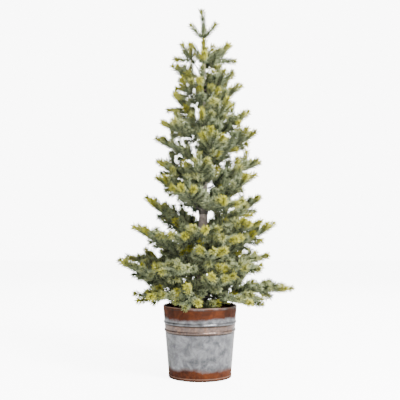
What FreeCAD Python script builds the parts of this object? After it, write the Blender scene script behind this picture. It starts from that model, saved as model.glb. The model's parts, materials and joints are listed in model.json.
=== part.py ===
import FreeCAD, Part
import math
import os
import random

# A tabletop artificial spruce in a galvanized pot, as an assembly of separate pieces.
#
# The pot is a tapered sheet-steel pail with a wired rim, two rolled ribs and a pressed base seamed to
# the wall. A cast weight, a foam plug and a fibre mat fill it. A wooden dowel stands in the weight and
# carries the trunk, whose core and paper wrap step down in three lengths. Branches leave the trunk at
# taped collars in seven tiers. Each is a taped wire with forks and moulded needle sprays, and its wire
# bends where it leaves the collar. Fixed sprays crown the top and a leader of four prongs ends it.
#
# Millimetres and degrees. +Z is up, +X is to the right and -Y is the front. The origin is the middle of
# the pot's foot, on the surface that it stands on. Each sub-part goes to parts/NODE.step.

Vector = FreeCAD.Vector
ORIGIN = Vector(0, 0, 0)
UP = Vector(0, 0, 1)

# ---------------------------------------------------------------- driving dimensions
TREE_HEIGHT = 610.0  # foot of the pot to the tip of the leader

POT_HEIGHT = 118.0  # foot to the top of the rolled rim
FOOT_RADIUS = 51.6  # outside of the wall at the foot
MOUTH_RADIUS = 61.4  # outside of the wall at the rim
SHEET = 0.6  # thickness of the galvanized sheet
RIM_WIRE_RADIUS = 1.3
RIB_HEIGHTS = (77.5, 90.5)  # middles of the two rolled ribs
RIB_WIDTH = 4.4
RIB_RISE = 1.3
HEM_HEIGHT = 4.4  # the base's folded seam round the wall's lower edge
BASE_LIFT = 4.0  # underside of the pan above the surface it stands on
SEAM_ANGLE = 6.0  # width of the wall's lock seam, as an angle round the pot
SEAM_RISE = 0.7

WEIGHT_TOP = 56.0
FOAM_TOP = 102.0
MAT_TOP = 108.0
FILL_GAP = 0.4  # between the fillings and the sheet

# The trunk's centre line: dowel foot, first step, second step and top. It leans a little, as wire does.
TRUNK_LINE = (Vector(-3.3, 0, 12), Vector(6, 0, 284), Vector(9, 0, 400), Vector(5.5, 0, 562))
DOWEL_RADIUS = 4.5
MIDDLE_ROD_RADIUS = 2.2
UPPER_ROD_RADIUS = 1.1
MIDDLE_SOCKET = 24.0  # how deep the middle rod stands in the dowel
UPPER_SOCKET = 14.0  # how deep the upper rod stands in the middle rod
LOWER_TRUNK_RADIUS = 7.4
MIDDLE_TRUNK_RADII = (5.2, 4.2)
UPPER_TRUNK_RADII = (3.7, 2.3)

COLLAR_THICKNESS = 1.1  # tape over the trunk's wrap
COLLAR_MARGIN = 4.5  # tape above the highest and below the lowest branch of a tier
KNUCKLE_RADIUS = 1.9  # the taped bend at a branch's root
KNUCKLE_WIDTH = 4.4
BEND_GAP = 0.4  # between a knuckle and its collar

# Each kind of branch: where its forks are along its wire, what they carry, its wire's radius and the
# length of its moulded prongs.
KINDS = {
    "long": {"forks": ((0.38, "sides"), (0.70, "twigs"), (1.0, "tip")), "wire": 1.35, "prong": 34.0},
    "medium": {"forks": ((0.50, "sides"), (1.0, "tip")), "wire": 1.15, "prong": 31.0},
    "short": {"forks": ((1.0, "tip"),), "wire": 1.0, "prong": 29.0},
}
FORK_RADIUS = 2.0  # a fork's tape: a short barrel along the wire
FORK_END_RADIUS = 1.6
FORK_LENGTH = 4.0
BUD_SCALE = 0.65  # the moulded fork at a twig's end, against one on the wire
SEAT = 0.1  # parts on one wire stop this much short of each other
TWIG_RADIUS = 0.8
TWIG_LENGTH = 8.0
PRONG_BASE_RADIUS = 0.8
PRONG_RADIUS = 2.6  # the moulded plastic's bulk, with its needles left out
PRONG_TIP_RADIUS = 1.0
PRONG_SHORTENING = {"twigs": 0.72, "sides": 0.94, "tip": 1.0}
SIDE_ANGLE = 42.0  # prongs beside a fork on the wire
TIP_ANGLE = 38.0  # prongs beside a tip
CREST_ANGLE = 54.0  # the prong above a fork
STEEPEST_CREST = 102.0  # above this, it would lean back into the trunk and goes below the fork instead
LIFT_ANGLE = 8.0  # side prongs stand this much above the branch's own plane
LENGTH_SPREAD = 0.08  # moulded prongs vary by this share of their length
ANGLE_SPREAD = 4.0
SPREAD_SEED = 24

# ---------------------------------------------------------------- the branches
# A tier: its name, the height of its middle and its branches. A branch: letter, compass angle from +X
# towards +Y, height above the tier's middle, reach, rise at the root, rise at the tip and kind.
HINGED_TIERS = (
    ("tier_1", 131.0, (
        ("a", 187, -5.0, 140, 32, 24, "long"),
        ("b", 215, 4.0, 110, 5, -6, "long"),
        ("c", 256, 9.0, 86, 8, -22, "medium"),
        ("d", 293, 6.0, 92, 26, 16, "medium"),
        ("e", 330, 0.0, 102, 2, -7, "long"),
        ("f", 3, -3.0, 142, 14, 1, "long"),
        ("g", 45, -2.0, 124, 27, 19, "long"),
        ("h", 92, 0.0, 122, 6, 0, "long"),
        ("i", 142, 1.0, 122, 18, 8, "long"),
    )),
    ("tier_2", 175.0, (
        ("a", 163, -4.0, 120, 14, 8, "long"),
        ("b", 197, 3.0, 122, 40, 31, "long"),
        ("c", 240, -4.0, 106, 8, 2, "long"),
        ("d", 280, 1.0, 96, 26, 17, "medium"),
        ("e", 320, -4.0, 106, 8, 2, "long"),
        ("f", 358, 4.0, 130, 38, 30, "long"),
        ("g", 24, -3.0, 118, 15, 9, "long"),
        ("h", 66, 3.0, 116, 28, 20, "long"),
        ("i", 116, -1.0, 118, 20, 14, "long"),
    )),
    ("tier_3", 217.0, (
        ("a", 177, 3.0, 110, 48, 39, "long"),
        ("b", 239, -4.0, 84, 20, 10, "medium"),
        ("c", 272, 2.0, 88, 23, 13, "medium"),
        ("d", 300, -4.0, 92, 14, 7, "medium"),
        ("e", 332, 0.0, 102, 27, 19, "long"),
        ("f", 10, 4.0, 118, 46, 38, "long"),
        ("g", 64, -2.0, 110, 28, 20, "long"),
        ("h", 120, 1.0, 110, 34, 26, "long"),
    )),
    ("tier_4", 277.0, (
        ("a", 196, 2.0, 87, 43, 33, "medium"),
        ("b", 246, -2.0, 86, 28, 20, "medium"),
        ("c", 302, -4.0, 88, 14, 4, "medium"),
        ("d", 345, 3.0, 93, 40, 32, "medium"),
        ("e", 56, -2.0, 98, 31, 23, "medium"),
        ("f", 116, 0.0, 96, 36, 28, "medium"),
    )),
    ("tier_5", 311.0, (
        ("a", 168, 1.0, 86, 38, 29, "medium"),
        ("b", 258, -1.0, 78, 38, 30, "medium"),
        ("c", 16, 2.0, 102, 33, 23, "medium"),
        ("d", 98, 0.0, 90, 38, 30, "medium"),
    )),
    ("tier_6", 350.0, (
        ("a", 184, 0.0, 85, 39, 29, "medium"),
        ("b", 284, -1.0, 74, 44, 36, "medium"),
        ("c", 345, 1.0, 96, 41, 30, "medium"),
        ("d", 62, 0.0, 84, 42, 34, "medium"),
    )),
    ("tier_7", 388.0, (
        ("a", 208, -2.0, 76, 34, 20, "medium"),
        ("b", 262, 1.0, 64, 50, 42, "short"),
        ("c", 3, -1.0, 81, 45, 35, "medium"),
        ("d", 96, 0.0, 74, 46, 38, "medium"),
    )),
)
FIXED_TIERS = (
    ("crown_1", 409.0, (
        ("a", 168, 0.0, 80, 58, 52, "medium"),
        ("b", 318, 1.0, 60, 50, 44, "short"),
        ("c", 52, -1.0, 58, 50, 44, "short"),
    )),
    ("crown_2", 434.0, (
        ("a", 8, 0.0, 74, 50, 42, "medium"),
        ("b", 210, 2.0, 66, 58, 52, "short"),
        ("c", 286, -2.0, 54, 62, 58, "short"),
        ("d", 90, 0.0, 58, 58, 52, "short"),
    )),
    ("crown_3", 470.0, (
        ("a", 178, 0.0, 66, 54, 45, "medium"),
        ("b", 338, 2.0, 54, 42, 34, "short"),
        ("c", 258, -2.0, 48, 66, 62, "short"),
        ("d", 48, 0.0, 54, 60, 54, "short"),
        ("e", 106, -6.0, 52, 52, 44, "short"),
    )),
    ("crown_4", 506.0, (
        ("a", 190, 0.0, 57, 62, 54, "short"),
        ("b", 6, 2.0, 60, 57, 48, "short"),
        ("c", 268, 5.0, 46, 66, 62, "short"),
        ("d", 84, 4.0, 48, 64, 60, "short"),
    )),
)
LEADER_SIDES = ((180, 42, 28.0), (2, 40, 31.0), (84, 42, 26.0))  # compass angle, lean, length
LEADER_LEAN = 4.0

spread = random.Random(SPREAD_SEED)


# ---------------------------------------------------------------- small geometry helpers
def turned(shape, foot, direction):
    """A copy of a shape made along +Z from the origin, placed at foot along direction."""
    placed = shape.copy()
    placed.Placement = FreeCAD.Placement(foot, FreeCAD.Rotation(UP, direction))
    return placed


def rod(foot, top, foot_radius, top_radius=None):
    """A straight cylinder or cone between two points."""
    line = top - foot
    if top_radius is None or abs(foot_radius - top_radius) < 1e-6:
        return Part.makeCylinder(foot_radius, line.Length, foot, line)
    return Part.makeCone(foot_radius, top_radius, line.Length, foot, line)


def revolved(outline, angle=360.0, start=0.0):
    """A solid turned about the origin's Z from a closed outline of (radius, height) points.

    An entry that holds three points is an arc from the first, through the second, to the third.
    """
    edges = []
    first = None
    pen = None
    for entry in outline:
        stops = entry if isinstance(entry[0], tuple) else (entry,)
        stops = [Vector(radius, 0, height) for radius, height in stops]
        if pen is not None and pen.distanceToPoint(stops[0]) > 1e-6:
            edges.append(Part.makeLine(pen, stops[0]))
        if len(stops) == 3:
            edges.append(Part.Arc(*stops).toShape())
        if first is None:
            first = stops[0]
        pen = stops[-1]
    if pen.distanceToPoint(first) > 1e-6:
        edges.append(Part.makeLine(pen, first))
    face = Part.Face(Part.Wire(edges))
    face.rotate(ORIGIN, UP, start)
    return face.revolve(ORIGIN, UP, angle)


def leaning(compass, rise):
    """The unit direction at a compass angle and a rise above level."""
    across = math.cos(math.radians(rise))
    turn = math.radians(compass)
    return Vector(across * math.cos(turn), across * math.sin(turn), math.sin(math.radians(rise)))


# ---------------------------------------------------------------- the pot
ROLL_RADIUS = RIM_WIRE_RADIUS + SHEET
ROLL_HEIGHT = POT_HEIGHT - ROLL_RADIUS


def wall_radius(height):
    """Outside of the pot's wall, which tapers evenly from mouth to foot."""
    return FOOT_RADIUS + (MOUTH_RADIUS - FOOT_RADIUS) * height / ROLL_HEIGHT


def wall_line(offset, low, high):
    """The wall's side from low to high, offset outwards, with an arc for each rib."""
    line = [(wall_radius(low) + offset, low)]
    for middle in RIB_HEIGHTS:
        low_edge = middle - RIB_WIDTH / 2
        high_edge = middle + RIB_WIDTH / 2
        line.append((
            (wall_radius(low_edge) + offset, low_edge),
            (wall_radius(middle) + offset + RIB_RISE, middle),
            (wall_radius(high_edge) + offset, high_edge),
        ))
    line.append((wall_radius(high) + offset, high))
    return line


def backwards(line):
    """The same line, from its last point to its first."""
    flipped = []
    for entry in reversed(line):
        flipped.append(tuple(reversed(entry)) if isinstance(entry[0], tuple) else entry)
    return flipped


def make_wall():
    """The rolled sheet: a tapered wall with two ribs, whose top edge curls inwards round the rim wire."""
    middle = wall_radius(ROLL_HEIGHT) - ROLL_RADIUS

    def on_roll(radius, angle):
        turn = math.radians(angle)
        return (middle + radius * math.cos(turn), ROLL_HEIGHT + radius * math.sin(turn))

    outer_roll = (on_roll(ROLL_RADIUS, 0), on_roll(ROLL_RADIUS, 125), on_roll(ROLL_RADIUS, 250))
    inner_roll = (on_roll(RIM_WIRE_RADIUS, 250), on_roll(RIM_WIRE_RADIUS, 125), on_roll(RIM_WIRE_RADIUS, 0))
    outside = wall_line(0.0, SHEET, ROLL_HEIGHT)
    inside = wall_line(-SHEET, SHEET, ROLL_HEIGHT)
    return revolved(outside + [outer_roll, inner_roll] + backwards(inside))


def make_rim_wire():
    """The steel wire inside the rim's roll."""
    middle = wall_radius(ROLL_HEIGHT) - ROLL_RADIUS
    return Part.makeTorus(middle, RIM_WIRE_RADIUS - 0.02, Vector(0, 0, ROLL_HEIGHT))


def make_base():
    """The pressed pan: its edge turns down inside the wall, under it and up round the outside."""
    def beside_wall(offset, height):
        return (wall_radius(height) + offset, height)

    pan_top = BASE_LIFT + SHEET
    return revolved([
        (0, BASE_LIFT),
        beside_wall(-2 * SHEET, BASE_LIFT),
        beside_wall(-2 * SHEET, 0),
        beside_wall(SHEET, 0),
        beside_wall(SHEET, HEM_HEIGHT),
        beside_wall(0, HEM_HEIGHT),
        beside_wall(0, SHEET),
        beside_wall(-SHEET, SHEET),
        beside_wall(-SHEET, pan_top),
        (0, pan_top),
    ])


def make_seam():
    """The wall's lock seam, a flat fold down the back."""
    top = ROLL_HEIGHT - 1.0
    outline = wall_line(SEAM_RISE, HEM_HEIGHT, top) + backwards(wall_line(0.0, HEM_HEIGHT, top))
    return revolved(outline, SEAM_ANGLE, 90 - SEAM_ANGLE / 2)


def make_filling(low, high):
    """A plug that fits the tapered wall between two heights."""
    inset = SHEET + FILL_GAP
    return revolved([(0, low), (wall_radius(low) - inset, low), (wall_radius(high) - inset, high), (0, high)])


# ---------------------------------------------------------------- the trunk
DOWEL_FOOT, FIRST_STEP, SECOND_STEP, TRUNK_TOP = TRUNK_LINE


def between(low, high, height):
    """The point at a height on the straight line through low and high."""
    return low + (high - low) * ((height - low.z) / (high.z - low.z))


def trunk_centre(height):
    """The trunk's centre at a height."""
    for low, high in zip(TRUNK_LINE, TRUNK_LINE[1:]):
        if height <= high.z:
            return between(low, high, height)
    return TRUNK_TOP


def trunk_radius(height):
    """The outside of the trunk's wrap at a height."""
    if height <= FIRST_STEP.z:
        return LOWER_TRUNK_RADIUS
    low, high, radii = FIRST_STEP, SECOND_STEP, MIDDLE_TRUNK_RADII
    if height > SECOND_STEP.z:
        low, high, radii = SECOND_STEP, TRUNK_TOP, UPPER_TRUNK_RADII
    return radii[0] + (radii[1] - radii[0]) * (height - low.z) / (high.z - low.z)


dowel_solid = rod(DOWEL_FOOT, FIRST_STEP, DOWEL_RADIUS)
middle_rod_foot = between(FIRST_STEP, SECOND_STEP, FIRST_STEP.z - MIDDLE_SOCKET)
middle_rod_solid = rod(middle_rod_foot, SECOND_STEP, MIDDLE_ROD_RADIUS)
upper_rod_foot = between(SECOND_STEP, TRUNK_TOP, SECOND_STEP.z - UPPER_SOCKET)
upper_rod_solid = rod(upper_rod_foot, TRUNK_TOP, UPPER_ROD_RADIUS)
wrap_foot = trunk_centre(MAT_TOP + 0.3)
wrap_solids = (
    rod(wrap_foot, FIRST_STEP, LOWER_TRUNK_RADIUS),
    rod(trunk_centre(FIRST_STEP.z + 0.3), SECOND_STEP, *MIDDLE_TRUNK_RADII),
    rod(trunk_centre(SECOND_STEP.z + 0.3), TRUNK_TOP, *UPPER_TRUNK_RADII),
)


def make_collar(heights):
    """Tape round the trunk behind the branches that leave it at these heights."""
    low = min(heights) - COLLAR_MARGIN
    high = max(heights) + COLLAR_MARGIN
    for step in (FIRST_STEP.z, SECOND_STEP.z):
        if low < step < high + 0.5:
            high = step - 0.2
    tape = rod(
        trunk_centre(low), trunk_centre(high),
        trunk_radius(low) + COLLAR_THICKNESS, trunk_radius(high) + COLLAR_THICKNESS,
    )
    for wrap in wrap_solids:
        tape = tape.cut(wrap)
    return tape


# ---------------------------------------------------------------- branches
def make_prong(length):
    """One moulded needle spray, as the plain body of its plastic, along +Z."""
    return revolved([
        (0, 0),
        (PRONG_BASE_RADIUS, 0),
        (PRONG_RADIUS, length * 0.32),
        (PRONG_RADIUS * 0.86, length * 0.66),
        (PRONG_TIP_RADIUS, length),
        (0, length),
    ])


def make_fork(scale=1.0):
    """The tape or the moulding that joins prongs to a wire, a barrel centred on the origin."""
    half = FORK_LENGTH / 2 * scale
    end = FORK_END_RADIUS * scale
    return revolved([
        (0, -half),
        (end, -half),
        (FORK_RADIUS * scale, -half * 0.4),
        (FORK_RADIUS * scale, half * 0.4),
        (end, half),
        (0, half),
    ])


class Sprig:
    """Where something grows: a point, the way forward, and the side and top of the branch there."""

    def __init__(self, point, compass, rise, sweep=0.0, lift=0.0):
        self.point = point
        ahead = leaning(compass, rise)
        side = leaning(compass + 90, 0)
        top = ahead.cross(side)
        turn = math.radians(sweep)
        self.ahead = ahead * math.cos(turn) + side * math.sin(turn)
        self.side = side * math.cos(turn) - ahead * math.sin(turn)
        self.top = top
        tilt = math.radians(lift)
        self.ahead, self.top = (
            self.ahead * math.cos(tilt) + self.top * math.sin(tilt),
            self.top * math.cos(tilt) - self.ahead * math.sin(tilt),
        )

    def aim(self, sweep, lift):
        """The direction turned sideways by sweep and upwards by lift."""
        turn = math.radians(sweep)
        tilt = math.radians(lift)
        level = self.ahead * math.cos(turn) + self.side * math.sin(turn)
        return level * math.cos(tilt) + self.top * math.sin(tilt)


def clear_of_fork(angle, scale=1.0):
    """How far from a fork's middle a prong that leaves at this angle begins."""
    half = FORK_LENGTH / 2 * scale
    if angle < 20:
        return half + SEAT
    return half + PRONG_BASE_RADIUS * (0.55 if angle < 42 else 0.85) + SEAT


def make_spray(point, direction, length):
    """A prong of about this length from a point."""
    length *= 1 + spread.uniform(-LENGTH_SPREAD, LENGTH_SPREAD)
    return turned(make_prong(length), point, direction)


def prongs_round(sprig, length, scale=1.0, crest=True, ahead=True, side_angle=TIP_ANGLE):
    """Prongs that leave a fork: one on either side, and if wanted one ahead and one on top."""
    aims = [(side_angle, LIFT_ANGLE), (-side_angle, LIFT_ANGLE)]
    if ahead:
        aims.append((0.0, 0.0))
    if crest:
        rise = math.degrees(math.asin(sprig.ahead.z))
        aims.append((0.0, CREST_ANGLE if rise + CREST_ANGLE < STEEPEST_CREST else -CREST_ANGLE))
    made = []
    for sweep, lift in aims:
        start = clear_of_fork(max(abs(sweep), abs(lift)), scale)
        if sweep or lift:
            lift += spread.uniform(-ANGLE_SPREAD, ANGLE_SPREAD)
        direction = sprig.aim(sweep, lift)
        share = 1.0 if sweep == 0 and lift == 0 else 0.9
        made.append(make_spray(sprig.point + direction * start, direction, length * share))
    return made


def make_twig(sprig, sweep, length):
    """A side twig that ends in three prongs."""
    direction = sprig.aim(sweep, LIFT_ANGLE)
    foot = sprig.point + direction * clear_of_fork(abs(sweep))
    end = foot + direction * TWIG_LENGTH
    half = FORK_LENGTH / 2 * BUD_SCALE
    bud = Sprig(end + direction * (half + SEAT), 0, 0)
    bud.ahead = direction
    bud.side = (sprig.side - direction * sprig.side.dot(direction)).normalize()
    bud.top = bud.ahead.cross(bud.side)
    parts = [rod(foot, end, TWIG_RADIUS), turned(make_fork(BUD_SCALE), bud.point, direction)]
    return parts + prongs_round(bud, length, BUD_SCALE, crest=False)


def make_branch(tier_height, branch, gap):
    """A branch: its knuckle at the trunk, wire, forks, twigs and prongs, each a separate solid."""
    _, compass, above, reach, root_rise, tip_rise, kind = branch
    plan = KINDS[kind]
    height = tier_height + above
    stand_off = trunk_radius(height) + COLLAR_THICKNESS + gap + KNUCKLE_RADIUS
    root = trunk_centre(height) + leaning(compass, 0) * stand_off
    across = leaning(compass + 90, 0)
    parts = [rod(root - across * (KNUCKLE_WIDTH / 2), root + across * (KNUCKLE_WIDTH / 2), KNUCKLE_RADIUS)]

    wire_length = reach - plan["prong"] - FORK_LENGTH / 2
    point = root
    done = 0.0
    clear = KNUCKLE_RADIUS + SEAT / 2
    for share, carries in plan["forks"]:
        middle_rise = root_rise + (tip_rise - root_rise) * (done + share) / 2
        rise = root_rise + (tip_rise - root_rise) * share
        direction = leaning(compass, middle_rise)
        fork_point = point + direction * (wire_length * (share - done))
        thick = plan["wire"] * (1 - 0.25 * done)
        thin = plan["wire"] * (1 - 0.25 * share)
        wire_end = fork_point - direction * (FORK_LENGTH / 2 + SEAT)
        parts.append(rod(point + direction * clear, wire_end, thick, thin))
        parts.append(turned(make_fork(), fork_point, leaning(compass, middle_rise)))
        sprig = Sprig(fork_point, compass, rise)
        length = plan["prong"] * PRONG_SHORTENING[carries]
        if carries == "twigs":
            parts += make_twig(sprig, SIDE_ANGLE, length)
            parts += make_twig(sprig, -SIDE_ANGLE, length)
        elif carries == "sides":
            parts += prongs_round(sprig, length, ahead=False, side_angle=SIDE_ANGLE)
        else:
            parts += prongs_round(sprig, length, crest=kind != "long")
        point = fork_point
        done = share
        clear = FORK_LENGTH / 2 + SEAT
    return parts


def make_leader():
    """The top: a fork on the trunk's end, a centre prong up to the tree's full height and three sides."""
    middle = TRUNK_TOP + UP * (FORK_LENGTH / 2 + SEAT)
    parts = [turned(make_fork(), middle, UP)]
    lean = leaning(0, 90 - LEADER_LEAN)
    foot = middle + lean * clear_of_fork(0)
    parts.append(turned(make_prong((TREE_HEIGHT - foot.z) / lean.z), foot, lean))
    for compass, angle, length in LEADER_SIDES:
        direction = leaning(compass, 90 - angle)
        parts.append(turned(make_prong(length), middle + direction * clear_of_fork(angle), direction))
    return parts


# ---------------------------------------------------------------- assembly
def build():
    """Every node's shape, by name."""
    nodes = {
        "bucket_wall": make_wall(),
        "rim_wire": make_rim_wire(),
        "bucket_base": make_base(),
        "side_seam": make_seam(),
        "cement_weight": make_filling(BASE_LIFT + SHEET, WEIGHT_TOP).cut(dowel_solid),
        "foam_plug": make_filling(WEIGHT_TOP, FOAM_TOP).cut(dowel_solid),
        "fibre_mat": make_filling(FOAM_TOP, MAT_TOP).cut(dowel_solid),
        "trunk_dowel": dowel_solid.cut(middle_rod_solid),
        "middle_trunk_rod": middle_rod_solid.cut(upper_rod_solid),
        "upper_trunk_rod": upper_rod_solid,
        "lower_trunk_wrap": wrap_solids[0].cut(dowel_solid),
        "middle_trunk_wrap": wrap_solids[1].cut(middle_rod_solid),
        "upper_trunk_wrap": wrap_solids[2].cut(middle_rod_solid.fuse(upper_rod_solid)),
    }
    collars = []
    crown = []
    for tiers, gap in ((HINGED_TIERS, BEND_GAP), (FIXED_TIERS, 0.05)):
        for name, height, branches in tiers:
            collars.append(make_collar([height + branch[2] for branch in branches]))
            made = [(branch[0], make_branch(height, branch, gap)) for branch in branches]
            if tiers is HINGED_TIERS:
                for letter, parts in made:
                    nodes[f"{name}_branch_{letter}"] = Part.makeCompound(parts)
            else:
                crown += [part for _, parts in made for part in parts]
    nodes["crown_sprays"] = Part.makeCompound(crown)
    nodes["root_collars"] = Part.makeCompound(collars)
    nodes["leader"] = Part.makeCompound(make_leader())
    return nodes


os.makedirs("parts", exist_ok=True)
for node, shape in build().items():
    shape.exportStep(f"parts/{node}.step")
    box = shape.BoundBox
    print(f"{node}: {len(shape.Solids)} solids, {shape.Volume:.0f} mm3, z {box.ZMin:.1f} to {box.ZMax:.1f}")
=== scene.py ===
# %% [markdown]
# # A tabletop spruce in a weathered pot
# The tree comes from CAD as a frame: a sheet-metal pot with its fillings, a wrapped trunk, taped
# collars and branches that turn where they leave the trunk. Each branch is drawn there as plain
# rods and spindles. This lesson keeps the pot's own shapes and gives them a weathered finish,
# winds paper and tape on the trunk, and grows moulded needles on every spindle of every branch.
# All sizes are in metres, and every piece rides on the CAD body that carries it.

# %% Load the frame
import json
import math

import bpy
import numpy as np
from mathutils import Matrix, Vector


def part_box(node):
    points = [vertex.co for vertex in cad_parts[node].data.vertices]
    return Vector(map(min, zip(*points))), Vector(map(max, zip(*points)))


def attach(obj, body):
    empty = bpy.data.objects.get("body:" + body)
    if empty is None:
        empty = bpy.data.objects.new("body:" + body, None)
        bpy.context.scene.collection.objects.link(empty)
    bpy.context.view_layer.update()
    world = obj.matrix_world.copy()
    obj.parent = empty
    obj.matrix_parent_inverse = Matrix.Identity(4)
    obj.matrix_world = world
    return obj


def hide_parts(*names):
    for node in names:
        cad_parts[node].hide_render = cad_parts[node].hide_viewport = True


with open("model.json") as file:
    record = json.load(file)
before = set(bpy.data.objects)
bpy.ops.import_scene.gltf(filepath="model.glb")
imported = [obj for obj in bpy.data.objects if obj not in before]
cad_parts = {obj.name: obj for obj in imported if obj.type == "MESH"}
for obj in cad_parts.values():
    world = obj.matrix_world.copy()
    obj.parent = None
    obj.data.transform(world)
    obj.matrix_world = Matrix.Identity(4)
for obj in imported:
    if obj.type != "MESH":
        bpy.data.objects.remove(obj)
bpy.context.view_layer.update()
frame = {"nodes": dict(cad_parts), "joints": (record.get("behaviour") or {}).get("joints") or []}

bpy.ops.object.select_all(action="DESELECT")
MM = 0.001
TRUNK_BODY = "trunk_and_pot"
joints = {joint["child"]: joint for joint in frame["joints"]}
print(len(frame["nodes"]), "CAD nodes,", len(joints), "branches that bend")

# %% [markdown]
# ## Camera, light and floor
# The camera stands a little lower than the middle of the tree, more than a metre away, and looks
# slightly upwards. A longer lens keeps the pot's ellipses shallow. The light is a pale surround
# that is brighter from the right, with a soft lamp high on the right, a weak one on the left,
# one behind, and a white floor, so the foliage gets soft shade between its sprays.

# %% Place the camera
CAMERA_DISTANCE = 1.208
CAMERA_HEIGHT = 0.249
CAMERA_TILT = 2.07  # degrees above level
CAMERA_LENS = 64.8
bpy.ops.object.camera_add(
    location=(0, -CAMERA_DISTANCE, CAMERA_HEIGHT), rotation=(math.radians(90 + CAMERA_TILT), 0, 0)
)
camera = bpy.context.object
camera.data.lens = CAMERA_LENS
bpy.context.scene.camera = camera
print("camera", tuple(round(v, 3) for v in camera.location))


# %% Light the scene
LAMP_AIM = Vector((0, 0, 0.28))


def soft_lamp(name, place, size, power):
    """A square area lamp that faces the middle of the tree."""
    bpy.ops.object.light_add(type="AREA", location=place)
    lamp = bpy.context.object
    lamp.name = name
    lamp.data.size = size
    lamp.data.energy = power
    lamp.rotation_euler = (LAMP_AIM - Vector(place)).to_track_quat("-Z", "Y").to_euler()


soft_lamp("key_lamp", (1.0, -1.1, 1.4), 0.45, 105)
soft_lamp("fill_lamp", (-1.3, -0.9, 0.7), 1.2, 4)
soft_lamp("back_lamp", (0.2, 1.3, 1.3), 1.2, 26)

SURROUND_LIGHT = (0.18, 2.1)  # what falls on the tree from the dim side and from the bright side
BRIGHT_SIDE = (0.9, -0.35, 0.35)  # towards the right, the front and above
BACKDROP_LIGHT = 9.0  # how bright the surround looks behind the tree
world = bpy.data.worlds.new("pale_surround")
bpy.context.scene.world = world
world.use_nodes = True
surround = world.node_tree.nodes["Background"]
surround.inputs["Color"].default_value = (1.0, 1.0, 1.0, 1)
facing = world.node_tree.nodes.new("ShaderNodeVectorMath")
facing.operation = "DOT_PRODUCT"
facing.inputs[1].default_value = BRIGHT_SIDE
heading = world.node_tree.nodes.new("ShaderNodeTexCoord").outputs["Generated"]
world.node_tree.links.new(heading, facing.inputs[0])
shade = world.node_tree.nodes.new("ShaderNodeMapRange")
for socket, value in zip(("From Min", "From Max", "To Min", "To Max"), (-1, 1, *SURROUND_LIGHT)):
    shade.inputs[socket].default_value = value
world.node_tree.links.new(facing.outputs["Value"], shade.inputs["Value"])
world.node_tree.links.new(shade.outputs[0], surround.inputs["Strength"])
backdrop = world.node_tree.nodes.new("ShaderNodeBackground")
backdrop.inputs["Color"].default_value = (1.0, 1.0, 1.0, 1)
backdrop.inputs["Strength"].default_value = BACKDROP_LIGHT
seen = world.node_tree.nodes.new("ShaderNodeLightPath").outputs["Is Camera Ray"]
either = world.node_tree.nodes.new("ShaderNodeMixShader")
for place, socket in enumerate((seen, surround.outputs[0], backdrop.outputs[0])):
    world.node_tree.links.new(socket, either.inputs[place])
world.node_tree.links.new(either.outputs[0], world.node_tree.nodes["World Output"].inputs["Surface"])

# %% [markdown]
# ## Helpers for materials
# A material is a small network of nodes, and writing one out takes many lines. A few helpers
# keep it short: the first adds a node and feeds its sockets with numbers or with other nodes'
# outputs, and the others use it for ramps, mixes and masks. The soft-edged blotches that
# several materials share are a node group, which gives out only a mask.


# %% Node helpers
def add_node(tree, kind, settings=None, **feeds):
    """Adds a node. Each feed names an input, with spaces as underscores, or numbers it, as in _0.
    It is a value or another node's output."""
    made = tree.nodes.new(kind)
    for name, value in (settings or {}).items():
        setattr(made, name, value)
    for name, value in feeds.items():
        key = int(name[1:]) if name[0] == "_" else name.replace("_", " ")
        if isinstance(value, bpy.types.NodeSocket):
            tree.links.new(value, made.inputs[key])
        else:
            made.inputs[key].default_value = value
    return made


def ramp(tree, mask, stops):
    """A colour ramp over a mask, from (place, colour) stops."""
    made = tree.nodes.new("ShaderNodeValToRGB")
    while len(made.color_ramp.elements) < len(stops):
        made.color_ramp.elements.new(0.5)
    for element, (place, colour) in zip(made.color_ramp.elements, stops):
        element.position = place
        element.color = (*colour, 1)
    tree.links.new(mask, made.inputs["Fac"])
    return made.outputs["Color"]


def mix(tree, mask, first, second):
    """Mixes two colours by a mask."""
    made = tree.nodes.new("ShaderNodeMix")
    made.data_type = "RGBA"
    for place, value in ((0, mask), (6, first), (7, second)):
        if isinstance(value, bpy.types.NodeSocket):
            tree.links.new(value, made.inputs[place])
        else:
            made.inputs[place].default_value = (*value, 1) if isinstance(value, tuple) else value
    return made.outputs[2]


def math_node(tree, operation, first, second=0.5, third=None):
    """A Math node. Each operand is a number or a socket."""
    feeds = {"_0": first, "_1": second}
    if third is not None:
        feeds["_2"] = third
    return add_node(tree, "ShaderNodeMath", {"operation": operation}, **feeds).outputs[0]


def fade(tree, value, start, end):
    """0 where value is at start, 1 where it is at end, even in between and level beyond them."""
    made = add_node(tree, "ShaderNodeMapRange", {"clamp": True}, Value=value, From_Min=start, From_Max=end)
    return made.outputs[0]


def between(tree, value, low, high, soft):
    """1 where value lies from low to high, fading to 0 over the distance soft."""
    rise = fade(tree, value, low - soft, low + soft)
    fall = fade(tree, value, high + soft, high - soft)
    return math_node(tree, "MULTIPLY", rise, fall)


def object_place(tree):
    """Where a point of the surface lies on its piece."""
    return tree.nodes.new("ShaderNodeTexCoord").outputs["Object"]


def new_material(name, **sockets):
    """A material, its node tree and its Principled shader, with the shader's plain inputs set."""
    made = bpy.data.materials.new(name)
    made.use_nodes = True
    shader = made.node_tree.nodes["Principled BSDF"]
    for socket, value in sockets.items():
        shader.inputs[socket.replace("_", " ")].default_value = value
    return made, made.node_tree, shader


def bump(tree, shader, height, strength, distance):
    """Feeds the shader's normal with a bump of this height."""
    made = add_node(tree, "ShaderNodeBump", None, Strength=strength, Distance=distance, Height=height)
    tree.links.new(made.outputs[0], shader.inputs["Normal"])


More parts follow.
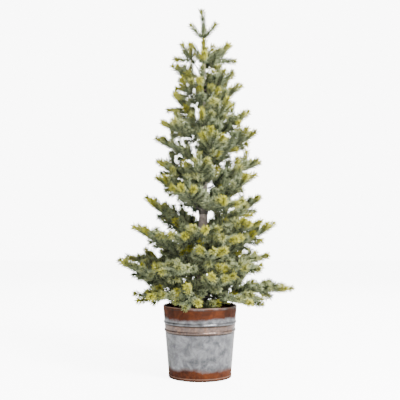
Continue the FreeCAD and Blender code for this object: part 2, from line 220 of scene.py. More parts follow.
def paint(name, material):
    """Gives a CAD node or a piece its one material."""
    piece = frame["nodes"].get(name) or bpy.data.objects[name]
    piece.data.materials.clear()
    piece.data.materials.append(material)


# %% Shared group: blotches
def make_blotches():
    """A mask of soft-edged patches within patches, for stains and weathering."""
    tree = bpy.data.node_groups.new("blotches", "ShaderNodeTree")
    for name, way, value in (("Scale", "INPUT", 30), ("Spread", "INPUT", 0.1), ("Mask", "OUTPUT", 0.0)):
        tree.interface.new_socket(name, in_out=way, socket_type="NodeSocketFloat").default_value = value
    inside = tree.nodes.new("NodeGroupInput")
    out = tree.nodes.new("NodeGroupOutput")
    noise = add_node(
        tree, "ShaderNodeTexNoise", None, Vector=object_place(tree), Scale=inside.outputs["Scale"],
        Detail=6.0, Roughness=0.62, Distortion=0.6,
    )
    low = math_node(tree, "SUBTRACT", 0.5, inside.outputs["Spread"])
    high = math_node(tree, "ADD", 0.5, inside.outputs["Spread"])
    tree.links.new(fade(tree, noise.outputs[0], low, high), out.inputs["Mask"])
    return tree


blotch_group = make_blotches()


def blotches(tree, scale, spread=0.1):
    """The shared blotch mask at a scale, in patches per metre."""
    made = tree.nodes.new("ShaderNodeGroup")
    made.node_tree = blotch_group
    made.inputs["Scale"].default_value = scale
    made.inputs["Spread"].default_value = spread
    return made.outputs["Mask"]


print("groups:", [group.name for group in bpy.data.node_groups])

# %% Lay the floor
FLOOR_GLOW = 7.0  # lifts the floor to the backdrop's white, and lights nothing else
bpy.ops.mesh.primitive_plane_add(size=6, location=(0, 1.0, 0))
floor = bpy.context.object
floor.name = "floor"
floor_paint, tree, shader = new_material("floor_paint", Roughness=0.9)
shader.inputs["Base Color"].default_value = (0.93, 0.93, 0.93, 1)
shader.inputs["Emission Color"].default_value = (1, 1, 1, 1)
seen = tree.nodes.new("ShaderNodeLightPath").outputs["Is Camera Ray"]
tree.links.new(math_node(tree, "MULTIPLY", seen, FLOOR_GLOW), shader.inputs["Emission Strength"])
floor.data.materials.append(floor_paint)
print("floor", tuple(floor.dimensions))

# %% [markdown]
# ## The pot
# The pot is thin steel sheet, galvanized and then aged. The zinc is a cool grey with soft
# cloudy patches. Rust shows as a broad band under the rim and another above the foot, each
# with a ragged edge, and the belt between the two ribs has a warm copper tint. All of that
# follows the height on the pot, so one material reads Object coordinates and shifts the
# height by some noise before it picks the bands. Painted shade darkens the creases beside
# the ribs and under the rim, a dark line runs along the bottom of the foot, and painted
# highlights lighten the rolled lip and the fold at the foot.

# %% Weathered galvanized sheet
# Heights on the pot, in metres, each band from its low edge to its high edge, and then colours.
UPPER_RUST = (0.0985, 0.118)
LOWER_RUST = (-0.03, 0.0175)
BELT = (0.0752, 0.0882)
HIGHLIGHT_BANDS = ((0.1165, 0.13), (0.0036, 0.0047))  # painted highlights: a pale line on top of the rolled lip, and one on the fold at the foot
# painted shade: dark lines beside the ribs and under the rim, and a dark line along the bottom of the foot
SHADED_CREASES = (  # the middle of each, and half its width
    (0.088, 0.0012), (0.0747, 0.0011), (0.0931, 0.0002), (0.0796, 0.0001), (0.1139, 0.0005), (0.0006, 0.0016),
)
ZINC_CLOUDS = ((0.0, (0.065, 0.067, 0.073)), (0.45, (0.122, 0.123, 0.134)), (1.0, (0.225, 0.227, 0.238)))
ZINC_SPECK = (0.15, 0.155, 0.152)
ZINC_STAIN = (0.05, 0.046, 0.04)
RUST_CLOUDS = ((0.0, (0.014, 0.005, 0.002)), (0.4, (0.046, 0.011, 0.0028)), (1.0, (0.098, 0.024, 0.005)))
COPPER, DARK_COPPER = (0.22, 0.13, 0.085), (0.085, 0.043, 0.027)
# the colour of the painted highlights on the lip and on the foot's fold
HIGHLIGHT_TINT = (0.24, 0.15, 0.11)
# the colour of the painted shade in the creases
CREASE_SHADE_COLOUR = (0.032, 0.021, 0.015)
pot_low, pot_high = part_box("bucket_wall")


def weather_zinc(tree, cloud, fine):
    """Cloudy greys with a faint violet and green cast, and a few dark stains."""
    zinc = ramp(tree, cloud, ZINC_CLOUDS)
    zinc = mix(tree, math_node(tree, "MULTIPLY", fine, 0.45), zinc, ZINC_SPECK)
    stain = fade(tree, blotches(tree, 105, 0.3), 0.62, 1.0)
    return mix(tree, math_node(tree, "MULTIPLY", stain, 0.5), zinc, ZINC_STAIN)


def make_galvanized():
    """The finish of the whole pot: zinc, rust bands, a copper belt, painted highlights on the edges and
    painted shade in the creases.
    """
    material, tree, shader = new_material("weathered_zinc", Specular_IOR_Level=0.15)
    place = object_place(tree)
    height = add_node(tree, "ShaderNodeSeparateXYZ", None, Vector=place).outputs["Z"]
    cloud = blotches(tree, 75, 0.13)
    fine = blotches(tree, 230, 0.12)
    zinc = weather_zinc(tree, cloud, fine)
    # the rust bands have ragged edges, because noise shifts the height up and down
    ragged = add_node(
        tree, "ShaderNodeTexNoise", None, Vector=place, Scale=38.0, Detail=5.0, Roughness=0.6, Distortion=0.4,
    ).outputs[0]
    wavy = math_node(tree, "ADD", height, math_node(tree, "MULTIPLY_ADD", ragged, 0.016, -0.008))
    upper = between(tree, wavy, *UPPER_RUST, 0.0028)
    lower = between(tree, wavy, *LOWER_RUST, 0.0036)
    rust_mask = math_node(tree, "MAXIMUM", upper, lower)
    colour = mix(tree, rust_mask, zinc, ramp(tree, blotches(tree, 55, 0.25), RUST_CLOUDS))
    # the belt between the ribs is warm, and so are the painted highlights on the lip and on the fold at the
    # foot
    belt = between(tree, height, *BELT, 0.0006)
    belt = math_node(tree, "MULTIPLY", belt, math_node(tree, "MULTIPLY_ADD", cloud, 0.5, 0.4))
    colour = mix(tree, belt, colour, mix(tree, fine, COPPER, DARK_COPPER))
    for low, high in HIGHLIGHT_BANDS:
        edge = between(tree, height, low, high, 0.0004)
        colour = mix(tree, math_node(tree, "MULTIPLY", edge, 0.6), colour, HIGHLIGHT_TINT)
    # painted shade beside each rib and under the rim, and a dark line along the bottom of the foot
    crease_shade = 0.0
    for crease, width in SHADED_CREASES:
        line = between(tree, height, crease - width, crease + width, 0.0005)
        crease_shade = math_node(tree, "MAXIMUM", crease_shade, line)
    colour = mix(tree, math_node(tree, "MULTIPLY", crease_shade, 0.88), colour, CREASE_SHADE_COLOUR)
    tree.links.new(colour, shader.inputs["Base Color"])
    tree.links.new(math_node(tree, "MULTIPLY_ADD", rust_mask, -0.8, 0.85), shader.inputs["Metallic"])
    clouded = math_node(tree, "MULTIPLY_ADD", cloud, 0.12, 0.28)
    tree.links.new(math_node(tree, "MULTIPLY_ADD", rust_mask, 0.42, clouded), shader.inputs["Roughness"])
    bump(tree, shader, fine, 0.12, 0.0006)
    return material


weathered_zinc = make_galvanized()
for name in ("bucket_wall", "bucket_base", "side_seam", "rim_wire"):
    paint(name, weathered_zinc)
print("pot", [round(v * 1000, 1) for v in (*pot_low, *pot_high)])

# %% [markdown]
# ## The fillings and rods
# A cast weight, a foam plug and a wooden dowel sit inside the pot and carry the tree. Nobody
# sees them when it stands, but a library part may be opened up, so each gets its own plain
# finish: speckled cement, foam with fine cells, and wood with grain along its length.


# %% Finishes for the hidden parts
def make_hidden_finish(name, dark, light, scale, stretch=(1, 1, 1), relief=0.3, roughness=0.85):
    """A two-colour speckle, stretched along an axis for grain."""
    material, tree, shader = new_material(name, Roughness=roughness)
    turned = add_node(tree, "ShaderNodeMapping", None, Vector=object_place(tree), Scale=stretch)
    noise = add_node(tree, "ShaderNodeTexNoise", None, Vector=turned.outputs[0], Scale=scale, Detail=5.0)
    colour = ramp(tree, noise.outputs[0], [(0.35, dark), (0.65, light)])
    tree.links.new(colour, shader.inputs["Base Color"])
    bump(tree, shader, noise.outputs[0], relief, 0.0005)
    return material


paint("cement_weight", make_hidden_finish("cast_cement", (0.23, 0.22, 0.2), (0.42, 0.41, 0.39), 260))
paint("foam_plug", make_hidden_finish("cut_foam", (0.1, 0.16, 0.08), (0.19, 0.27, 0.13), 500))
turned_dowel = make_hidden_finish("turned_dowel", (0.33, 0.2, 0.1), (0.5, 0.34, 0.19), 420, (1, 1, 0.06))
paint("trunk_dowel", turned_dowel)
bare_steel = make_hidden_finish(
    "bare_steel_wire", (0.25, 0.25, 0.26), (0.4, 0.4, 0.41), 600, (1, 1, 0.05), relief=0.1, roughness=0.35,
)
bare_steel.node_tree.nodes["Principled BSDF"].inputs["Metallic"].default_value = 1.0
for name in ("middle_trunk_rod", "upper_trunk_rod"):
    paint(name, bare_steel)
print("hidden finishes done")

# %% [markdown]
# ## The fibre mat
# A disc of coarse brown fibre hides the foam. From above it shows as a matted, lumpy surface
# round the trunk. The piece starts as a short cylinder. Its top is inset again and again and
# then subdivided, and a Displace modifier pushes it up and down by a cloud texture.

# %% Model the mat
MAT_GAP = 0.4 * MM  # between the mat and the pot's wall
MAT_DROP = 1.2 * MM  # leaves room for the lumps
MAT_RINGS = 7
LUMP_WIDTH = 7 * MM
LUMP_HEIGHT = 3.2 * MM
mat_low, mat_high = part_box("fibre_mat")
mat_radius = (mat_high.x - mat_low.x) / 2


def model_mat():
    """A lumpy disc of fibre, as wide as the pot is inside."""
    bpy.ops.mesh.primitive_cylinder_add(
        vertices=72, radius=mat_radius - MAT_GAP, depth=mat_high.z - mat_low.z - MAT_DROP,
        location=(0, 0, (mat_low.z + mat_high.z) / 2 - MAT_DROP / 2),
    )
    mat = bpy.context.object
    mat.name = "fibre_top"
    bpy.ops.object.mode_set(mode="EDIT")
    bpy.ops.mesh.select_all(action="DESELECT")
    bpy.ops.object.mode_set(mode="OBJECT")
    top = max(vertex.co.z for vertex in mat.data.vertices)
    for face in mat.data.polygons:
        face.select = face.normal.z > 0.9 and face.center.z > top - 0.1 * MM
    bpy.ops.object.mode_set(mode="EDIT")
    for _ in range(MAT_RINGS):
        bpy.ops.mesh.inset(thickness=mat_radius / (MAT_RINGS + 2))
    bpy.ops.mesh.poke()
    bpy.ops.object.mode_set(mode="OBJECT")
    bpy.ops.object.transform_apply(location=True, rotation=True, scale=True)
    lumps = bpy.data.textures.new("mat_lumps", "CLOUDS")
    lumps.noise_scale = LUMP_WIDTH
    lumps.noise_depth = 3
    finer = mat.modifiers.new("finer", "SUBSURF")
    finer.levels = finer.render_levels = 1
    finer.subdivision_type = "SIMPLE"
    pushed = mat.modifiers.new("lumps", "DISPLACE")
    pushed.texture = lumps
    pushed.texture_coords = "LOCAL"
    pushed.direction = "Z"
    pushed.mid_level = 0.5
    pushed.strength = LUMP_HEIGHT
    for name in ("finer", "lumps"):
        bpy.ops.object.modifier_apply(modifier=name)
    bpy.ops.object.shade_smooth()
    return mat


fibre_top = model_mat()
coir = make_hidden_finish("brown_coir", (0.035, 0.022, 0.012), (0.16, 0.1, 0.05), 700, (1, 1, 1), 0.8, 0.95)
fibre_top.data.materials.append(coir)
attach(fibre_top, TRUNK_BODY)
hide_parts("fibre_mat")
print("mat", len(fibre_top.data.polygons), "faces")

# %% [markdown]
# ## Reading the branches from CAD
# In CAD a branch is a row of separate solids: a knuckle where it turns, rods for its wire,
# barrels where it forks and spindles for its moulded sprays. The looks need to know where
# each of them is. A node's mesh is loose triangles, so its corners are merged by place, and
# the triangles that share corners are gathered into islands, one to a solid. A solid's longest
# direction is its axis, and its girth tells what it is.


# %% Split a node into its solids
def solids_of(node):
    """The corner points of each solid in a CAD node."""
    mesh = frame["nodes"][node].data
    corners = np.empty(len(mesh.vertices) * 3, np.float32)
    mesh.vertices.foreach_get("co", corners)
    corners = corners.reshape(-1, 3).astype(float)
    mesh.calc_loop_triangles()
    triangles = np.empty(len(mesh.loop_triangles) * 3, np.int32)
    mesh.loop_triangles.foreach_get("vertices", triangles)
    places, merged = np.unique(np.round(corners, 5), axis=0, return_inverse=True)
    triangles = merged.reshape(-1)[triangles].reshape(-1, 3)
    label = np.arange(len(places))
    while True:
        lowest = label[triangles].min(axis=1)
        spread_label = label.copy()
        np.minimum.at(spread_label, triangles.ravel(), np.repeat(lowest, 3))
        spread_label = spread_label[spread_label]
        if (spread_label == label).all():
            break
        label = spread_label
    return [places[label == one] for one in np.unique(label)]


# %% Measure a solid
def unit(vector):
    return vector / np.linalg.norm(vector, axis=-1, keepdims=True)


def measure(points):
    """A solid's two ends on its axis, and its greatest radius and its radius at either end."""
    middle = points.mean(axis=0)
    axis = np.linalg.svd(points - middle, full_matrices=False)[2][0]
    along = (points - middle) @ axis
    off = np.linalg.norm(points - middle - np.outer(along, axis), axis=1)
    low, high = along.min(), along.max()
    near = 0.05 * (high - low)  # an end is the outermost twentieth
    return {
        "ends": (middle + axis * low, middle + axis * high),
        "middle": middle + axis * (low + high) / 2,
        "radius": off.max(),
        "end_radii": (off[along < low + near].max(), off[along > high - near].max()),
        "length": high - low,
        "reach": np.linalg.norm(points - middle, axis=1).max(),
    }


# %% Tell knots, wires and sprays apart
KNOT_REACH = 3.3 * MM  # knuckles, forks and buds are all smaller than this
SPRAY_GIRTH = 2.0 * MM  # a spindle is thicker than this and a wire is thinner
SAME_RADIUS = 0.01 * MM  # a twig is as thick at both ends, to within this, and other wires taper
CROWN_MIDDLE = np.array([0.006, 0.0])  # where the leaning trunk is at the height of the crown


def read_branch(node):
    """The knots, wires and sprays of a node. A wire or spray runs from its inner end to its outer."""
    knots, wires, sprays = [], [], []
    for points in solids_of(node):
        solid = measure(points)
        if solid["reach"] < KNOT_REACH:
            knots.append(solid)
        elif solid["radius"] > SPRAY_GIRTH:
            sprays.append(solid)
        else:
            wires.append(solid)
    knot_places = np.array([knot["middle"] for knot in knots])
    for spray in sprays:
        gaps = [np.linalg.norm(knot_places - end, axis=1).min() for end in spray["ends"]]
        if gaps[0] > gaps[1]:
            spray["ends"] = spray["ends"][::-1]
    for wire in wires:
        first, last = wire["end_radii"]
        wire["twig"] = abs(first - last) < SAME_RADIUS
        if first < last - SAME_RADIUS:
            wire["ends"] = wire["ends"][::-1]
            wire["end_radii"] = (last, first)
        elif wire["twig"]:
            out = [np.linalg.norm(end[:2] - CROWN_MIDDLE) for end in wire["ends"]]
            if out[0] > out[1]:
                wire["ends"] = wire["ends"][::-1]
    return knots, wires, sprays


branch_nodes = sorted(joints) + ["crown_sprays", "leader"]
skeletons = {node: read_branch(node) for node in branch_nodes}
for place, kind in enumerate(("knots", "wires", "sprays")):
    print(sum(len(skeleton[place]) for skeleton in skeletons.values()), kind)

# %% [markdown]
# ## One needle
# A moulded needle is a flat little blade, widest past its middle, with a tip that curves a
# little upwards. There are tens of thousands, so it has very few faces. It starts as a
# three-sided cone and is cut across to get a ring. The foot and the ring are resized, and the
# ring and the tip are lifted. The rib along the middle of a spray is made the same way.


# %% Model the needle and the rib
def slim_cone(sides, cuts):
    """A cone one unit high and one wide, cut across at these heights."""
    bpy.ops.mesh.primitive_cone_add(vertices=sides, radius1=0.5, radius2=0, depth=1, location=(0, 0, 0.5))
    cone = bpy.context.object
    bpy.ops.object.transform_apply(location=True, rotation=True, scale=True)
    bpy.ops.object.mode_set(mode="EDIT")
    for cut in cuts:
        bpy.ops.mesh.select_all(action="SELECT")
        bpy.ops.mesh.bisect(plane_co=(0, 0, cut), plane_no=(0, 0, 1))
    bpy.ops.object.mode_set(mode="OBJECT")
    return cone


def shape_ring(cone, height, width, depth, lift=0.0):
    """Resizes the ring at a height to a width and depth, and lifts it."""
    for vertex in cone.data.vertices:
        vertex.select = abs(vertex.co.z - height) < 1e-3
    now = max(math.hypot(v.co.x, v.co.y) for v in cone.data.vertices if v.select) * 2
    bpy.ops.object.mode_set(mode="EDIT")
    bpy.ops.mesh.select_mode(type="VERT")
    if now > 1e-4:
        bpy.ops.transform.resize(value=(width / now, depth / now, 1))
    bpy.ops.transform.translate(value=(0, lift, 0))
    bpy.ops.mesh.select_all(action="DESELECT")
    bpy.ops.object.mode_set(mode="OBJECT")


def as_pattern(model):
    """Takes a finished shape's corners and triangles, to copy from, and removes the shape."""
    bpy.ops.object.mode_set(mode="EDIT")
    bpy.ops.mesh.select_all(action="SELECT")
    bpy.ops.mesh.quads_convert_to_tris()
    bpy.ops.mesh.normals_make_consistent(inside=False)
    bpy.ops.object.mode_set(mode="OBJECT")
    corners = np.array([vertex.co[:] for vertex in model.data.vertices])
    faces = np.array([face.vertices[:] for face in model.data.polygons])
    bpy.data.objects.remove(model)
    return corners, faces


needle_model = slim_cone(3, (0.55,))
shape_ring(needle_model, 0.0, 0.8, 0.6)
shape_ring(needle_model, 0.55, 1.1, 0.75, 0.06)
shape_ring(needle_model, 1.0, 0, 0, 0.3)
needle_pattern = as_pattern(needle_model)
rib_model = slim_cone(5, (0.5, 0.96))
shape_ring(rib_model, 0.0, 1.0, 1.0)
shape_ring(rib_model, 0.5, 0.8, 0.8)
shape_ring(rib_model, 0.96, 0.5, 0.5)
rib_pattern = as_pattern(rib_model)
print("needle:", len(needle_pattern[1]), "triangles; rib:", len(rib_pattern[1]))

# %% [markdown]
# ## Growing the needles
# On a moulded spray the needles leave a thin rib in rings of five, each ring turned half a step
# from the last, and all lean forward. They are a little shorter near the foot, and a tuft
# closes the end. The same rings cover all but the root of each branch's wire. Each needle is a
# copy of the one model, so the places are worked out as arrays and the copies are joined into
# one mesh for each branch. Every corner also keeps three numbers for the colour: how far along
# its needle it is, how young its growth is, and how light its needle and its spray happen to be.

# %% Sizes of the needles and sprays
NEEDLE_LENGTH = 9.5 * MM
NEEDLE_WIDTH = 2.0 * MM
RING_STEP = 1.95 * MM
RING_COUNT = 5
RIB_WIDTH = 1.5 * MM
BARE_ROOT = 18 * MM  # a branch's own wire has no needles this close to the trunk
SIDE_LIFT = 12  # degrees that the small sprays beside a wire rise from it
UPPER_LIFT, LOWER_LIFT = 50, -40  # and the ones above and below it
UPPER_SHARE, LOWER_SHARE = 0.75, 0.62  # how long those are, against the ones beside the wire
BACK_GAIN = 1.3  # and how much longer they are where the wire runs towards the back
SIDE_SWEEP = (42, 58)  # degrees between a small spray and its wire, seen from above
SIDE_REACH = (28, 38)  # millimetres
SIDE_START = 11 * MM
SIDE_STEP = 9.5 * MM  # between the sets of small sprays along a wire
FORK_ROOM = 4 * MM  # kept free of them on either side of a fork
BOW_PLACE = 30 * MM  # a spray's bow is measured this far from its foot
TIP_GROWTH = 4 * MM  # how far the outer sprays reach beyond their rods
TRUNK_ROOM = 22 * MM  # small sprays end at least this far from the middle of the trunk
RIM_FROM, RIM_TO, RIM_TOP = 0.036, 0.078, 0.145  # and not this far from it, below this height
TUFT_PLACE = 4.4 * MM  # from a spray's tip
TUFT_LEAN = 32  # degrees
growth = np.random.default_rng(61)


def jitter(reach, shape=None):
    """Random numbers from minus reach to reach."""
    return growth.uniform(-reach, reach, shape)


# %% Collect copies into one mesh
class Thicket:
    """Collects copies of the needle and the rib, with their colour numbers, to make one mesh."""

    def __init__(self):
        self.corners, self.faces, self.numbers = [], [], {"along": [], "young": [], "tone": []}
        self.count = 0

    def add(self, pattern, feet, ahead, up, lengths, widths, young, tone):
        """Adds a copy of a pattern at each foot, pointing ahead, with its flat top towards up."""
        corners, faces = pattern
        side = unit(np.cross(ahead, up))
        top = np.cross(side, ahead)
        placed = (
            feet[:, None]
            + corners[None, :, 0:1] * widths[:, None, None] * side[:, None]
            + corners[None, :, 1:2] * widths[:, None, None] * top[:, None]
            + corners[None, :, 2:3] * lengths[:, None, None] * ahead[:, None]
        )
        copies, size = len(feet), len(corners)
        self.corners.append(placed.reshape(-1, 3))
        shift = self.count + size * np.arange(copies)
        self.faces.append((faces[None] + shift[:, None, None]).reshape(-1, 3))
        self.count += copies * size
        self.numbers["along"].append(np.tile(corners[:, 2], copies))
        self.numbers["young"].append(np.repeat(young, size))
        self.numbers["tone"].append(np.repeat(tone, size))

    def mesh(self, name, material):
        """One object with all the copies."""
        made = bpy.data.meshes.new(name)
        made.from_pydata(np.concatenate(self.corners).tolist(), [], np.concatenate(self.faces).tolist())
        for number, values in self.numbers.items():
            layer = made.attributes.new(number, "FLOAT", "POINT")
            layer.data.foreach_set("value", np.concatenate(values).astype(np.float32))
        made.materials.append(material)
        made.shade_smooth()
        piece = bpy.data.objects.new(name, made)
        bpy.context.scene.collection.objects.link(piece)
        return piece


# %% Grow rings of needles
def frame_along(axis):
    """The side and the top of something that runs along this axis."""
    side = np.cross(axis, (0.0, 0.0, 1.0))
    if np.linalg.norm(side) < 1e-3:
        side = np.array((1.0, 0.0, 0.0))
    side = unit(side)
    return side, np.cross(side, axis)


def ring_needles(thicket, foot, axis, stations, lean, length, young, tone, bow=(0, 0, 0)):
    """Rings of needles at these distances from foot. lean, length and young go with each ring.
    bow is how far the rings have curved aside where they are BOW_PLACE from the foot."""
    side, top = frame_along(axis)
    step = 2 * math.pi / RING_COUNT
    turn = np.arange(len(stations))[:, None] * (step / 2) + np.arange(RING_COUNT) * step
    turn = turn + jitter(0.24, turn.shape)
    lean = np.radians(lean)[:, None] + jitter(0.2, turn.shape)
    outward = np.cos(turn)[..., None] * side + np.sin(turn)[..., None] * top
    ahead = np.cos(lean)[..., None] * axis + np.sin(lean)[..., None] * outward
    inner = np.sin(lean)[..., None] * axis - np.cos(lean)[..., None] * outward
    feet = foot + (stations[:, None] + jitter(0.4, turn.shape) * MM)[..., None] * axis
    feet = feet + outward * 0.25 * MM
    feet = feet + ((stations / BOW_PLACE) ** 2)[:, None, None] * np.asarray(bow)
    lengths = length[:, None] * growth.uniform(0.82, 1.12, turn.shape)
    widths = NEEDLE_WIDTH * growth.uniform(0.88, 1.1, turn.shape)
    tones = tone + jitter(0.32, turn.shape)
    youngs = np.repeat(young[:, None], RING_COUNT, axis=1) + jitter(0.1, turn.shape)
    thicket.add(
        needle_pattern, feet.reshape(-1, 3), ahead.reshape(-1, 3), inner.reshape(-1, 3),
        lengths.ravel(), widths.ravel(), youngs.ravel(), tones.ravel(),
    )


# %% Grow a spray
def grow_spray(thicket, foot, tip, youth):
    """One moulded spray from foot to tip. youth is how far its light growth reaches, from 0 to 1."""
    length = np.linalg.norm(tip - foot)
    axis = (tip - foot) / length
    tone = growth.uniform(0.3, 0.7)
    side, top = frame_along(axis)
    bow = (jitter(1.8) * side + growth.uniform(-0.8, 3.2) * top) * MM
    stations = np.arange(1.6 * MM, length - 3.4 * MM, RING_STEP)
    share = stations / length
    young = youth * np.clip(1.3 - (length - stations) / (8 * MM + 14 * MM * youth), 0, 1)
    lean = 53 + 3 * share**2
    reach = NEEDLE_LENGTH * (0.86 + 0.18 * np.clip(share * 2.2, 0, 1))
    ring_needles(thicket, foot, axis, stations, lean, reach, young, tone, bow)
    tuft = [np.array([value]) for value in (length - TUFT_PLACE, TUFT_LEAN, 0.86 * NEEDLE_LENGTH, youth)]
    ring_needles(thicket, foot, axis, *tuft, tone, bow)
    thicket.add(
        rib_pattern, (foot - axis * 1.2 * MM)[None], axis[None], top[None], np.array([length + 0.2 * MM]),
        np.array([RIB_WIDTH]), np.array([youth * 0.4]), np.array([tone]),
    )


def cover_wire(thicket, foot, tip, tone):
    """Needles along a stretch of wire."""
    length = np.linalg.norm(tip - foot)
    axis = (tip - foot) / length
    stations = np.arange(1.5 * MM, length - 0.5 * MM, RING_STEP * 1.15)
    if len(stations) == 0:
        return
    lean = np.full(len(stations), 52.0)
    reach = np.full(len(stations), NEEDLE_LENGTH * 0.95)
    ring_needles(thicket, foot, axis, stations, lean, reach, np.zeros(len(stations)), tone)


# %% Grow small sprays along a wire
def too_close(place):
    """Whether a place is beside the trunk, or just over the pot's rim."""
    from_middle = math.hypot(place[0], place[1])
    return from_middle < TRUNK_ROOM or (RIM_FROM < from_middle < RIM_TO and place[2] < RIM_TOP)


def add_side_sprays(thicket, rows, left_out):
    """Sets of small sprays along a wire: a pair beside it, one above and one below. The lifts
    that are left_out get none."""
    done = 0.0
    next_place = SIDE_START
    total = sum(np.linalg.norm(b[0] - a[0]) for a, b in zip(rows, rows[1:]))
    swing = -1
    for (start, _), (end, _) in zip(rows, rows[1:]):
        span = np.linalg.norm(end - start)
        axis = (end - start) / span
        side, top = frame_along(axis)
        gain = BACK_GAIN if axis[1] > 0.1 else 1
        while next_place < done + span:
            here = next_place - done
            next_place += SIDE_STEP * growth.uniform(0.9, 1.1)
            if (done > 0 and here < FORK_ROOM) or span - here < FORK_ROOM:
                continue
            foot = start + axis * here
            share = (done + here) / total
            swing = -swing
            # how far each turns to one side, its lift, and its length against the pair's
            for turn, lift, size in (
                (1, SIDE_LIFT, 1), (-1, SIDE_LIFT, 1),
                (0.25 * swing, UPPER_LIFT, UPPER_SHARE * gain), (0.3 * swing, LOWER_LIFT, LOWER_SHARE * gain),
            ):
                if lift in left_out:
                    continue
                sweep = math.radians(growth.uniform(*SIDE_SWEEP)) * turn
                tilt = math.radians(lift + jitter(8))
                level = math.cos(sweep) * axis + math.sin(sweep) * side
                ahead = math.cos(tilt) * level + math.sin(tilt) * top
                length = growth.uniform(*SIDE_REACH) * MM * (1.06 - 0.12 * share) * size
                if too_close(foot + ahead * length) or too_close(foot + ahead * length * 0.6):
                    continue
                youth = growth.uniform(0.0, 0.2) + 0.42 * share**2 * growth.random()
                if growth.random() < 0.07:
                    youth = growth.uniform(0.7, 1.0)
                grow_spray(thicket, foot, foot + ahead * length, youth)
        done += span


print("needle", NEEDLE_LENGTH, "m long, rings every", RING_STEP, "m")

# %% [markdown]
# ## What the foliage is made of
# The sprays are moulded in green plastic, and the factory sprays on two coats: a dull grey
# frost over everything, and olive yellow on the ends, where a real spruce shows its young
# growth. The needle material reads the three numbers of each corner. The tone sets how light
# a needle is, "young" brings in the olive, and the frost comes from fine noise that is
# strongest on the outer half of a needle. The wires are wound with dark crepe tape.


# %% Needle plastic
OLD_GREENS = ((0.1, (0.066, 0.09, 0.036)), (0.5, (0.168, 0.2, 0.088)), (0.95, (0.34, 0.375, 0.2)))
YOUNG_OLIVES = ((0.1, (0.24, 0.24, 0.018)), (0.5, (0.4, 0.39, 0.035)), (0.95, (0.58, 0.55, 0.09)))
FROST = (0.42, 0.46, 0.33)
# painted shade colours for the inner ends of the needles
SHADE_GREEN, SHADE_OLIVE = (0.015, 0.026, 0.008), (0.05, 0.06, 0.008)


def read_number(tree, name):
    return add_node(tree, "ShaderNodeAttribute", {"attribute_name": name}).outputs["Fac"]


def make_needle_plastic():
    """Green plastic with a dull frost, and olive on young growth."""
    material, tree, shader = new_material("frosted_needles", Roughness=0.62, Specular_IOR_Level=0.22)
    tone, young, along = (read_number(tree, name) for name in ("tone", "young", "along"))
    old = ramp(tree, tone, OLD_GREENS)
    olive = ramp(tree, tone, YOUNG_OLIVES)
    fine = blotches(tree, 420, 0.16)
    wide = blotches(tree, 60, 0.2)
    # painted shade: the inner end of each needle and rib is darkened, standing in for the shade deep inside a
    # spray
    tipward = fade(tree, along, 0.1, 0.8)
    old = mix(tree, tipward, mix(tree, 0.85, old, SHADE_GREEN), old)
    frost_amount = math_node(tree, "MULTIPLY", math_node(tree, "MULTIPLY", fine, tipward), 0.62)
    frost_amount = math_node(tree, "MULTIPLY", frost_amount, math_node(tree, "MULTIPLY_ADD", wide, 0.7, 0.3))
    old = mix(tree, frost_amount, old, FROST)
    young_mask = fade(tree, math_node(tree, "MULTIPLY_ADD", fine, 0.22, young), 0.22, 0.85)
    # the same painted shade at the inner ends of the olive growth
    olive = mix(tree, tipward, mix(tree, 0.7, olive, SHADE_OLIVE), olive)
    tree.links.new(mix(tree, young_mask, old, olive), shader.inputs["Base Color"])
    tree.links.new(math_node(tree, "MULTIPLY_ADD", fine, 0.22, 0.48), shader.inputs["Roughness"])
    return material


frosted_needles = make_needle_plastic()


# %% Crepe tape and paper
def make_wrap_finish(name, dark, light, ridge_scale, relief, roughness):
    """A wound paper or crepe finish: a mottled colour and fine ridges across the winding."""
    material, tree, shader = new_material(name, Roughness=roughness)
    flat = add_node(tree, "ShaderNodeMapping", None, Vector=object_place(tree), Scale=(0.25, 0.25, 1.0))
    ridges = add_node(tree, "ShaderNodeTexNoise", None, Vector=flat.outputs[0], Scale=ridge_scale, Detail=4.0)
    mottle = math_node(tree, "MULTIPLY", blotches(tree, 90, 0.25), 0.3)
    tint = math_node(tree, "MULTIPLY_ADD", ridges.outputs[0], 0.7, mottle)
    tree.links.new(ramp(tree, tint, [(0.3, dark), (0.72, light)]), shader.inputs["Base Color"])
    bump(tree, shader, ridges.outputs[0], relief, 0.0004)
    return material


trunk_paper = make_wrap_finish("mauve_paper", (0.2, 0.155, 0.14), (0.5, 0.43, 0.4), 900, 0.6, 0.9)
crepe_tape = make_wrap_finish("dark_crepe_tape", (0.03, 0.026, 0.022), (0.115, 0.1, 0.085), 1500, 0.5, 0.85)
print("materials:", len(bpy.data.materials))

# %% [markdown]
# ## Winding the trunk
# The trunk's core is wound from foot to top with a paper ribbon, and each turn laps over the
# one below, which leaves a fine edge round it. One turn's outline is a short saw tooth. An
# Array modifier stacks it up the trunk, and a Screw modifier turns the stack once round
# while it climbs one step, so the edges join into a single long helix. The two ends are cut
# level, the tube is narrowed towards its top, and then it's set on the trunk's leaning line.
# The tape at the roots of the branches is wound in the same way, in narrower turns.


